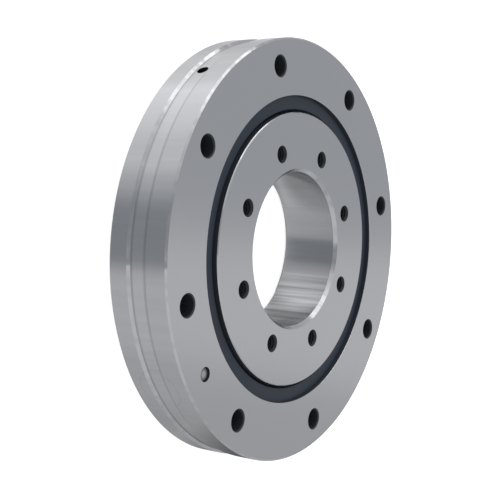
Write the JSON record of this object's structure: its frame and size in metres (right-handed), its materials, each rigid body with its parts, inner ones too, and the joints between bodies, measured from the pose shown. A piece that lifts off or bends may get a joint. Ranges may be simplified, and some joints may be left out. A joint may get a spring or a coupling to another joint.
{
  "type": "crossed roller bearing",
  "caption": "Thin flat crossed roller bearing: an outer and an inner steel ring with bolt holes, turning on crossed rollers behind dark rubber seals.",
  "frame": {"origin": "centre of the bearing's axis on the counterbored back face, which it lies on", "axes": "+Z along the bearing's axis towards the front face, +X through a bolt hole of the outer ring"},
  "size_m": [0.095, 0.095, 0.015],
  "materials": {
    "ring_steel": "ground",
    "pin_steel": "turned",
    "roller_steel": "lapped",
    "seal_rubber": "moulded",
    "spacer_plastic": "moulded"
  },
  "bodies": {
    "outer": {"outer_ring": "ring_steel", "filling_plug": "ring_steel", "taper_pin": "pin_steel", "front_seal": "seal_rubber", "back_seal": "seal_rubber"},
    "inner": {"inner_ring": "ring_steel"},
    "roller_set": {"spacer_01": "spacer_plastic", "spacer_02": "spacer_plastic", "spacer_03": "spacer_plastic", "spacer_04": "spacer_plastic", "spacer_05": "spacer_plastic", "spacer_06": "spacer_plastic", "spacer_07": "spacer_plastic", "spacer_08": "spacer_plastic", "spacer_09": "spacer_plastic", "spacer_10": "spacer_plastic", "spacer_11": "spacer_plastic", "spacer_12": "spacer_plastic", "spacer_13": "spacer_plastic", "spacer_14": "spacer_plastic", "spacer_15": "spacer_plastic", "spacer_16": "spacer_plastic", "spacer_17": "spacer_plastic", "spacer_18": "spacer_plastic", "spacer_19": "spacer_plastic", "spacer_20": "spacer_plastic", "spacer_21": "spacer_plastic", "spacer_22": "spacer_plastic", "spacer_23": "spacer_plastic", "spacer_24": "spacer_plastic", "spacer_25": "spacer_plastic", "spacer_26": "spacer_plastic"},
    "roller_01": {"roller_01": "roller_steel"},
    "roller_02": {"roller_02": "roller_steel"},
    "roller_03": {"roller_03": "roller_steel"},
    "roller_04": {"roller_04": "roller_steel"},
    "roller_05": {"roller_05": "roller_steel"},
    "roller_06": {"roller_06": "roller_steel"},
    "roller_07": {"roller_07": "roller_steel"},
    "roller_08": {"roller_08": "roller_steel"},
    "roller_09": {"roller_09": "roller_steel"},
    "roller_10": {"roller_10": "roller_steel"},
    "roller_11": {"roller_11": "roller_steel"},
    "roller_12": {"roller_12": "roller_steel"},
    "roller_13": {"roller_13": "roller_steel"},
    "roller_14": {"roller_14": "roller_steel"},
    "roller_15": {"roller_15": "roller_steel"},
    "roller_16": {"roller_16": "roller_steel"},
    "roller_17": {"roller_17": "roller_steel"},
    "roller_18": {"roller_18": "roller_steel"},
    "roller_19": {"roller_19": "roller_steel"},
    "roller_20": {"roller_20": "roller_steel"},
    "roller_21": {"roller_21": "roller_steel"},
    "roller_22": {"roller_22": "roller_steel"},
    "roller_23": {"roller_23": "roller_steel"},
    "roller_24": {"roller_24": "roller_steel"},
    "roller_25": {"roller_25": "roller_steel"},
    "roller_26": {"roller_26": "roller_steel"}
  },
  "joints": [
    {"name": "inner_ring_spin", "type": "hinge", "parent": "outer", "child": "inner", "pos_m": [0, 0, 0.0075], "axis": [0, 0, 1], "continuous": true},
    {"name": "roller_set_orbit", "type": "hinge", "parent": "outer", "child": "roller_set", "pos_m": [0, 0, 0.0075], "axis": [0, 0, 1], "continuous": true},
    {"name": "roller_01_roll", "type": "hinge", "parent": "roller_set", "child": "roller_01", "pos_m": [0.033, 0, 0.0075], "axis": [0.7071, 0, 0.7071], "continuous": true},
    {"name": "roller_02_roll", "type": "hinge", "parent": "roller_set", "child": "roller_02", "pos_m": [0.03204, 0.0079, 0.0075], "axis": [-0.6866, -0.1692, 0.7071], "continuous": true},
    {"name": "roller_03_roll", "type": "hinge", "parent": "roller_set", "child": "roller_03", "pos_m": [0.02922, 0.01534, 0.0075], "axis": [0.6261, 0.3286, 0.7071], "continuous": true},
    {"name": "roller_04_roll", "type": "hinge", "parent": "roller_set", "child": "roller_04", "pos_m": [0.0247, 0.02188, 0.0075], "axis": [-0.5293, -0.4689, 0.7071], "continuous": true},
    {"name": "roller_05_roll", "type": "hinge", "parent": "roller_set", "child": "roller_05", "pos_m": [0.01875, 0.02716, 0.0075], "axis": [0.4017, 0.5819, 0.7071], "continuous": true},
    {"name": "roller_06_roll", "type": "hinge", "parent": "roller_set", "child": "roller_06", "pos_m": [0.0117, 0.03086, 0.0075], "axis": [-0.2507, -0.6612, 0.7071], "continuous": true},
    {"name": "roller_07_roll", "type": "hinge", "parent": "roller_set", "child": "roller_07", "pos_m": [0.00398, 0.03276, 0.0075], "axis": [0.0852, 0.702, 0.7071], "continuous": true},
    {"name": "roller_08_roll", "type": "hinge", "parent": "roller_set", "child": "roller_08", "pos_m": [-0.00398, 0.03276, 0.0075], "axis": [0.0852, -0.702, 0.7071], "continuous": true},
    {"name": "roller_09_roll", "type": "hinge", "parent": "roller_set", "child": "roller_09", "pos_m": [-0.0117, 0.03086, 0.0075], "axis": [-0.2507, 0.6612, 0.7071], "continuous": true},
    {"name": "roller_10_roll", "type": "hinge", "parent": "roller_set", "child": "roller_10", "pos_m": [-0.01875, 0.02716, 0.0075], "axis": [0.4017, -0.5819, 0.7071], "continuous": true},
    {"name": "roller_11_roll", "type": "hinge", "parent": "roller_set", "child": "roller_11", "pos_m": [-0.0247, 0.02188, 0.0075], "axis": [-0.5293, 0.4689, 0.7071], "continuous": true},
    {"name": "roller_12_roll", "type": "hinge", "parent": "roller_set", "child": "roller_12", "pos_m": [-0.02922, 0.01534, 0.0075], "axis": [0.6261, -0.3286, 0.7071], "continuous": true},
    {"name": "roller_13_roll", "type": "hinge", "parent": "roller_set", "child": "roller_13", "pos_m": [-0.03204, 0.0079, 0.0075], "axis": [-0.6866, 0.1692, 0.7071], "continuous": true},
    {"name": "roller_14_roll", "type": "hinge", "parent": "roller_set", "child": "roller_14", "pos_m": [-0.033, 0, 0.0075], "axis": [0.7071, 0, 0.7071], "continuous": true},
    {"name": "roller_15_roll", "type": "hinge", "parent": "roller_set", "child": "roller_15", "pos_m": [-0.03204, -0.0079, 0.0075], "axis": [-0.6866, -0.1692, 0.7071], "continuous": true},
    {"name": "roller_16_roll", "type": "hinge", "parent": "roller_set", "child": "roller_16", "pos_m": [-0.02922, -0.01534, 0.0075], "axis": [0.6261, 0.3286, 0.7071], "continuous": true},
    {"name": "roller_17_roll", "type": "hinge", "parent": "roller_set", "child": "roller_17", "pos_m": [-0.0247, -0.02188, 0.0075], "axis": [-0.5293, -0.4689, 0.7071], "continuous": true},
    {"name": "roller_18_roll", "type": "hinge", "parent": "roller_set", "child": "roller_18", "pos_m": [-0.01875, -0.02716, 0.0075], "axis": [0.4017, 0.5819, 0.7071], "continuous": true},
    {"name": "roller_19_roll", "type": "hinge", "parent": "roller_set", "child": "roller_19", "pos_m": [-0.0117, -0.03086, 0.0075], "axis": [-0.2507, -0.6612, 0.7071], "continuous": true},
    {"name": "roller_20_roll", "type": "hinge", "parent": "roller_set", "child": "roller_20", "pos_m": [-0.00398, -0.03276, 0.0075], "axis": [0.0852, 0.702, 0.7071], "continuous": true},
    {"name": "roller_21_roll", "type": "hinge", "parent": "roller_set", "child": "roller_21", "pos_m": [0.00398, -0.03276, 0.0075], "axis": [0.0852, -0.702, 0.7071], "continuous": true},
    {"name": "roller_22_roll", "type": "hinge", "parent": "roller_set", "child": "roller_22", "pos_m": [0.0117, -0.03086, 0.0075], "axis": [-0.2507, 0.6612, 0.7071], "continuous": true},
    {"name": "roller_23_roll", "type": "hinge", "parent": "roller_set", "child": "roller_23", "pos_m": [0.01875, -0.02716, 0.0075], "axis": [0.4017, -0.5819, 0.7071], "continuous": true},
    {"name": "roller_24_roll", "type": "hinge", "parent": "roller_set", "child": "roller_24", "pos_m": [0.0247, -0.02188, 0.0075], "axis": [-0.5293, 0.4689, 0.7071], "continuous": true},
    {"name": "roller_25_roll", "type": "hinge", "parent": "roller_set", "child": "roller_25", "pos_m": [0.02922, -0.01534, 0.0075], "axis": [0.6261, -0.3286, 0.7071], "continuous": true},
    {"name": "roller_26_roll", "type": "hinge", "parent": "roller_set", "child": "roller_26", "pos_m": [0.03204, -0.0079, 0.0075], "axis": [-0.6866, 0.1692, 0.7071], "continuous": true}
  ],
  "couplings": [
    {"joint": "roller_set_orbit", "follows": "inner_ring_spin", "ratio": 0.46786},
    {"joint": "roller_01_roll", "follows": "inner_ring_spin", "ratio": -5.4773},
    {"joint": "roller_02_roll", "follows": "inner_ring_spin", "ratio": -5.4773},
    {"joint": "roller_03_roll", "follows": "inner_ring_spin", "ratio": -5.4773},
    {"joint": "roller_04_roll", "follows": "inner_ring_spin", "ratio": -5.4773},
    {"joint": "roller_05_roll", "follows": "inner_ring_spin", "ratio": -5.4773},
    {"joint": "roller_06_roll", "follows": "inner_ring_spin", "ratio": -5.4773},
    {"joint": "roller_07_roll", "follows": "inner_ring_spin", "ratio": -5.4773},
    {"joint": "roller_08_roll", "follows": "inner_ring_spin", "ratio": -5.4773},
    {"joint": "roller_09_roll", "follows": "inner_ring_spin", "ratio": -5.4773},
    {"joint": "roller_10_roll", "follows": "inner_ring_spin", "ratio": -5.4773},
    {"joint": "roller_11_roll", "follows": "inner_ring_spin", "ratio": -5.4773},
    {"joint": "roller_12_roll", "follows": "inner_ring_spin", "ratio": -5.4773},
    {"joint": "roller_13_roll", "follows": "inner_ring_spin", "ratio": -5.4773},
    {"joint": "roller_14_roll", "follows": "inner_ring_spin", "ratio": -5.4773},
    {"joint": "roller_15_roll", "follows": "inner_ring_spin", "ratio": -5.4773},
    {"joint": "roller_16_roll", "follows": "inner_ring_spin", "ratio": -5.4773},
    {"joint": "roller_17_roll", "follows": "inner_ring_spin", "ratio": -5.4773},
    {"joint": "roller_18_roll", "follows": "inner_ring_spin", "ratio": -5.4773},
    {"joint": "roller_19_roll", "follows": "inner_ring_spin", "ratio": -5.4773},
    {"joint": "roller_20_roll", "follows": "inner_ring_spin", "ratio": -5.4773},
    {"joint": "roller_21_roll", "follows": "inner_ring_spin", "ratio": -5.4773},
    {"joint": "roller_22_roll", "follows": "inner_ring_spin", "ratio": -5.4773},
    {"joint": "roller_23_roll", "follows": "inner_ring_spin", "ratio": -5.4773},
    {"joint": "roller_24_roll", "follows": "inner_ring_spin", "ratio": -5.4773},
    {"joint": "roller_25_roll", "follows": "inner_ring_spin", "ratio": -5.4773},
    {"joint": "roller_26_roll", "follows": "inner_ring_spin", "ratio": -5.4773}
  ]
}
